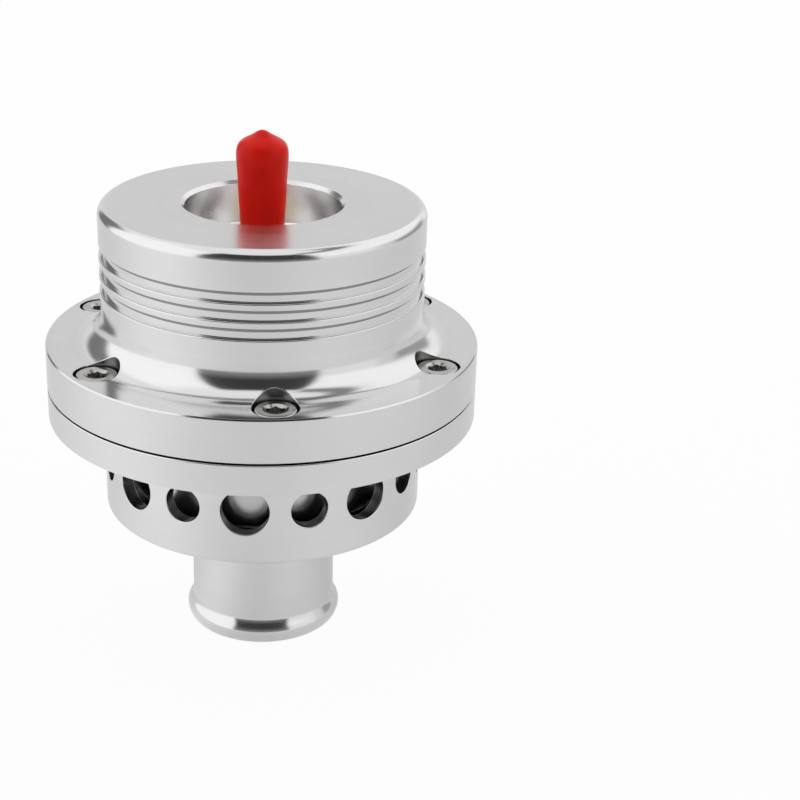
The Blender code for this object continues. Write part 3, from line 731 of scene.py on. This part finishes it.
def turned_metal(name, base, rough, lines=0.0012, tint=(1.0, 1.0, 1.0)):
    """Metal off a lathe: fine lines round the axis, some of them deeper, and faint smears."""
    made, nodes, shader = new_material(name)
    place = nodes.add("ShaderNodeTexCoord").outputs["Object"]
    x, y, z = nodes.add("ShaderNodeSeparateXYZ", {0: place}).outputs[:3]
    squares = nodes.math("ADD", nodes.math("MULTIPLY", x, x), nodes.math("MULTIPLY", y, y))
    radius = nodes.math("SQRT", squares)
    section = nodes.add("ShaderNodeCombineXYZ", {0: radius, 1: z}).outputs[0]
    fine = nodes.noise(section, 5200.0, 3.0, 0.6)
    coarse = nodes.noise(section, 620.0, 2.0, 0.5)
    smear = nodes.noise(place, 95.0, 4.0, 0.6)
    mixed = nodes.math("MULTIPLY", nodes.math("ADD", coarse, smear), 0.5)
    low, high = (colour(tuple(t * (base + d) for t in tint)) for d in (-0.02, 0.02))
    share = nodes.range(mixed, 0.35, 0.65, 0.0, 1.0)
    nodes.put(shader.inputs["Base Color"], nodes.blend(share, low, high))
    nodes.put(shader.inputs["Roughness"], nodes.range(mixed, 0.35, 0.65, rough - 0.03, rough + 0.03))
    height = nodes.math("ADD", fine, nodes.math("MULTIPLY", coarse, 1.5))
    bump = nodes.add("ShaderNodeBump", {"Strength": 1.0, "Distance": lines * MM, "Height": height})
    nodes.put(shader.inputs["Normal"], bump.outputs[0])
    shader.inputs["Metallic"].default_value = 1.0
    return made


def mottled(name, low, high, rough, scale, grain_scale, grain, metallic=0.0, spread=0.05, specular=0.5):
    """A stuff with mild mottling in its colour and gloss, and a finely uneven surface."""
    made, nodes, shader = new_material(name)
    place = nodes.add("ShaderNodeTexCoord").outputs["Object"]
    mottle = nodes.range(nodes.noise(place, scale, 4.0, 0.55), 0.3, 0.7, 0.0, 1.0)
    nodes.put(shader.inputs["Base Color"], nodes.blend(mottle, colour(low), colour(high)))
    nodes.put(shader.inputs["Roughness"], nodes.range(mottle, 0.0, 1.0, rough - spread, rough + spread))
    bump = nodes.add("ShaderNodeBump", {"Strength": 1.0, "Distance": grain * MM,
                                        "Height": nodes.noise(place, grain_scale, 3.0, 0.6)})
    nodes.put(shader.inputs["Normal"], bump.outputs[0])
    shader.inputs["Metallic"].default_value = metallic
    shader.inputs["Specular IOR Level"].default_value = specular
    return made


MATERIALS = {
    "housing_aluminium": turned_metal("housing_aluminium", 0.73, 0.145),
    # A dark copy of the aluminium for the holes' walls; on the grooves' floors it is painted shade
    "drilled_and_painted_shade_aluminium": turned_metal("drilled_and_painted_shade_aluminium", 0.28, 0.30, 0.002),
    "faced_aluminium": turned_metal("faced_aluminium", 0.72, 0.25, 0.0001),
    # A brighter copy of the aluminium for the recess, which is painted light
    "bored_painted_light_aluminium": turned_metal("bored_painted_light_aluminium", 0.92, 0.25, 0.0004),
    "piston_aluminium": turned_metal("piston_aluminium", 0.60, 0.25),
    "screw_steel": mottled("screw_steel", (0.44, 0.435, 0.42), (0.55, 0.54, 0.525), 0.18,
                           900.0, 3000.0, 0.004, metallic=1.0),
    "spring_steel": mottled("spring_steel", (0.40, 0.40, 0.40), (0.52, 0.52, 0.51), 0.28,
                            700.0, 2500.0, 0.005, metallic=1.0),
    "seal_rubber": mottled("seal_rubber", (0.012, 0.012, 0.012), (0.028, 0.028, 0.027), 0.55,
                           500.0, 2600.0, 0.02),
    "guide_plastic": mottled("guide_plastic", (0.72, 0.72, 0.69), (0.82, 0.82, 0.80), 0.42,
                             300.0, 2000.0, 0.01),
    "nipple_brass": turned_metal("nipple_brass", 0.78, 0.20, tint=(1.0, 0.76, 0.40)),
    "washer_copper": mottled("washer_copper", (0.68, 0.36, 0.24), (0.80, 0.46, 0.31), 0.30,
                             500.0, 2200.0, 0.006, metallic=1.0),
    "cap_vinyl": mottled("cap_vinyl", (0.74, 0.010, 0.004), (0.86, 0.014, 0.006), 0.30,
                         260.0, 900.0, 0.008, spread=0.03, specular=0.12),
}


def settle(piece, body, slot, *nodes, finishes=()):
    """Gives a piece its material, its body and the solids that it stands for."""
    for name in (slot, *finishes):
        piece.data.materials.append(MATERIALS[name])
    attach(piece, body)
    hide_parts(*nodes)
    return piece


settle(lower_body(), "housing", "housing_aluminium", "lower_housing", finishes=("drilled_and_painted_shade_aluminium",))
settle(upper_body(), "housing", "housing_aluminium", "upper_housing",
       finishes=("drilled_and_painted_shade_aluminium", "faced_aluminium", "bored_painted_light_aluminium"))
settle(o_ring("flange_ring", 27.2, 1.0, 44.3), "housing", "seal_rubber", "flange_o_ring")
for number, azimuth in enumerate(SCREWS, 1):
    screw = cap_screw(f"screw_{number}", in_space(azimuth, SCREW_CIRCLE, HEAD_TOP), HEAD_HEIGHT, 2.2,
                      HEAD_TOP - HEAD_HEIGHT - SCREW_TIP)
    settle(screw, "housing", "screw_steel", f"flange_screw_{number}")
settle(nipple(), "housing", "nipple_brass", "vacuum_nipple")
settle(ring("washer", 2.8, 4.5, 65.4, 66.4, 0.25), "housing", "washer_copper", "nipple_washer")
settle(ring("shim", 8.6, 12.0, 59.7, 60.7, 0.2), "housing", "screw_steel", "spring_shim")
spring = settle(coil(), "housing", "spring_steel", "main_spring")
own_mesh(spring)
settle(piston_cup(), "piston", "piston_aluminium", "piston")
settle(ring("upper_guide", 21.9, 23.1, 48.9, 50.7, 0.15, BODY_STEPS), "piston", "guide_plastic",
       "upper_guide_ring")
settle(ring("lower_guide", 21.9, 23.1, 41.7, 43.5, 0.15, BODY_STEPS), "piston", "guide_plastic",
       "lower_guide_ring")
settle(o_ring("piston_ring", 22.2, 0.9, 46.2), "piston", "seal_rubber", "piston_o_ring")
settle(ring("seat_disc", 2.9, 14.2, 26.95, 28.95, 0.3), "piston", "seal_rubber", "seat_seal")
settle(ring("retainer_plate", 2.3, 9.2, 25.15, 26.65, 0.3), "piston", "screw_steel", "seal_retainer")
settle(cap_screw("plate_screw", (0.0, 0.0, 22.65), 2.2, 1.1, 10.0, upside_down=True), "piston",
       "screw_steel", "retainer_screw")
settle(cap(), "cap", "cap_vinyl", "protective_cap")


# Stage and light


def bearings(nodes):
    """Azimuth and elevation in degrees of a point of the stage, seen from the valve."""
    place = nodes.add("ShaderNodeTexCoord").outputs["Object"]
    way = nodes.add("ShaderNodeVectorMath", {0: place}, operation="NORMALIZE").outputs[0]
    x, y, z = nodes.add("ShaderNodeSeparateXYZ", {0: way}).outputs[:3]
    azimuth = nodes.math("ARCTAN2", x, nodes.math("MULTIPLY", y, -1.0))
    return nodes.math("DEGREES", azimuth), nodes.math("DEGREES", nodes.math("ARCSINE", z))


def band(nodes, value, low, high, soft):
    """One between low and high and nothing outside, with soft ends."""
    rise = nodes.range(value, low - soft / 2, low + soft / 2, 0.0, 1.0, "SMOOTHSTEP")
    fall = nodes.range(value, high - soft / 2, high + soft / 2, 1.0, 0.0, "SMOOTHSTEP")
    return nodes.math("MULTIPLY", rise, fall)


def tent_material():
    """Light tent: bright sides, a duller back, dark folds low behind, and the dark opening in front."""
    made, nodes = blank_material("tent")
    azimuth, elevation = bearings(nodes)
    opening = nodes.range(elevation, -4.0, 24.0, 0.34, 0.05)
    patches = [
        (1.2, azimuth, (-126, -40), (-20, 60), 14),
        (0.95, azimuth, (30, 82), (-20, 24), 14),
        (0.78, azimuth, (82, 104), (-20, 22), 12),
        (1.15, azimuth, (30, 166), (20, 56), 12),
        (0.78, nodes.math("ABSOLUTE", azimuth), (156, 200), (-20, 44), 10),
        (0.40, azimuth, (100, 142), (-20, 14), 10),
        (0.22, azimuth, (-152, -126), (-20, 33), 9),
        (0.25, azimuth, (40, 152), (60, 70), 5),
        (opening, azimuth, (-44, 37), (-20, 62), 6),
    ]
    level = 1.0
    for value, side, azimuths, elevations, soft in patches:
        share = nodes.math("MULTIPLY", band(nodes, side, *azimuths, soft),
                           band(nodes, elevation, *elevations, soft))
        mixed = nodes.add("ShaderNodeMix", {0: share, 2: level, 3: value}, data_type="FLOAT")
        level = mixed.outputs[0]
    glow = nodes.add("ShaderNodeEmission", {"Color": colour(1.0), "Strength": level})
    nodes.add("ShaderNodeOutputMaterial", {"Surface": glow.outputs[0]})
    # Its light is gathered by bounced rays alone
    made.cycles.emission_sampling = "NONE"
    return made


def floor_material():
    """A pale floor that looks white and keeps a faint shadow. The metal sees it brighter at the sides."""
    made, nodes = blank_material("floor")
    path = nodes.add("ShaderNodeLightPath").outputs
    camera_ray = path["Is Camera Ray"]
    seen = nodes.math("MAXIMUM", camera_ray,
                      nodes.math("MAXIMUM", path["Is Glossy Ray"], path["Is Transmission Ray"]))
    azimuth = bearings(nodes)[0]
    sides = 0.73
    for middle, more in ((-70.0, 0.44), (42.0, 0.20)):
        lobe = nodes.math("COSINE", nodes.math("RADIANS", nodes.math("SUBTRACT", azimuth, middle)))
        lobe = nodes.math("POWER", nodes.math("MAXIMUM", lobe, 0.0), 3.0)
        sides = nodes.math("ADD", sides, nodes.math("MULTIPLY", lobe, more))
    level = nodes.add("ShaderNodeMix", {0: camera_ray, 2: sides, 3: 1.0}, data_type="FLOAT").outputs[0]
    diffuse = nodes.add("ShaderNodeBsdfDiffuse", {"Color": colour(0.88)}).outputs[0]
    glow = nodes.add("ShaderNodeEmission", {"Color": colour(1.0), "Strength": level}).outputs[0]
    share = nodes.add("ShaderNodeMix", {0: camera_ray, 2: 0.6, 3: 0.95}, data_type="FLOAT").outputs[0]
    part = nodes.math("MULTIPLY", seen, share)
    mix = nodes.add("ShaderNodeMixShader", {0: part, 1: diffuse, 2: glow})
    nodes.add("ShaderNodeOutputMaterial", {"Surface": mix.outputs[0]})
    return made


# The floor lies just under the part, so that the two have no face in one plane
FLOOR_HALF = 3
FLOOR_LEVEL = -2e-5
floor_corners = [(x * FLOOR_HALF, y * FLOOR_HALF, FLOOR_LEVEL)
                 for x, y in ((-1, -1), (1, -1), (1, 1), (-1, 1))]
floor_mesh = bpy.data.meshes.new("floor")
floor_mesh.from_pydata(floor_corners, [], [(0, 1, 2, 3)])
floor_mesh.materials.append(floor_material())
floor = bpy.data.objects.new("floor", floor_mesh)
bpy.context.scene.collection.objects.link(floor)

# The tent's foot is an elevation in degrees, seen from its middle
TENT_RADIUS = 1000.0
TENT_CENTRE = 45.0
TENT_FOOT = -2.5
heights = np.radians(np.append(np.linspace(TENT_FOOT, 86.0, 32), 90.0))[:, None]
walls = TENT_RADIUS * in_space(full_turn(0.0, 96)[None, :], np.cos(heights), np.sin(heights))
tent_mesh = Mesh()
tent_mesh.grid(walls, -walls)
tent = tent_mesh.made("tent")
tent.location.z = TENT_CENTRE * MM
tent.data.materials.append(tent_material())
tent.visible_camera = False
tent.visible_shadow = False

world = bpy.data.worlds.new("white")
bpy.context.scene.world = world
world.use_nodes = True
sky = Nodes(world.node_tree)
light = sky.add("ShaderNodeBackground", {"Color": colour(1.0), "Strength": 1.0})
sky.add("ShaderNodeOutputWorld", {"Surface": light.outputs[0]})

camera = bpy.data.objects.new("camera", bpy.data.cameras.new("camera"))
camera.location = (0.0000285, -0.2801002, 0.1593060)
camera.rotation_euler = Euler(np.radians((67.1487, -1.7137, -4.1121)))
camera.data.lens = 78.81
bpy.context.scene.collection.objects.link(camera)
bpy.context.scene.camera = camera
bpy.context.scene.view_settings.view_transform = "Standard"
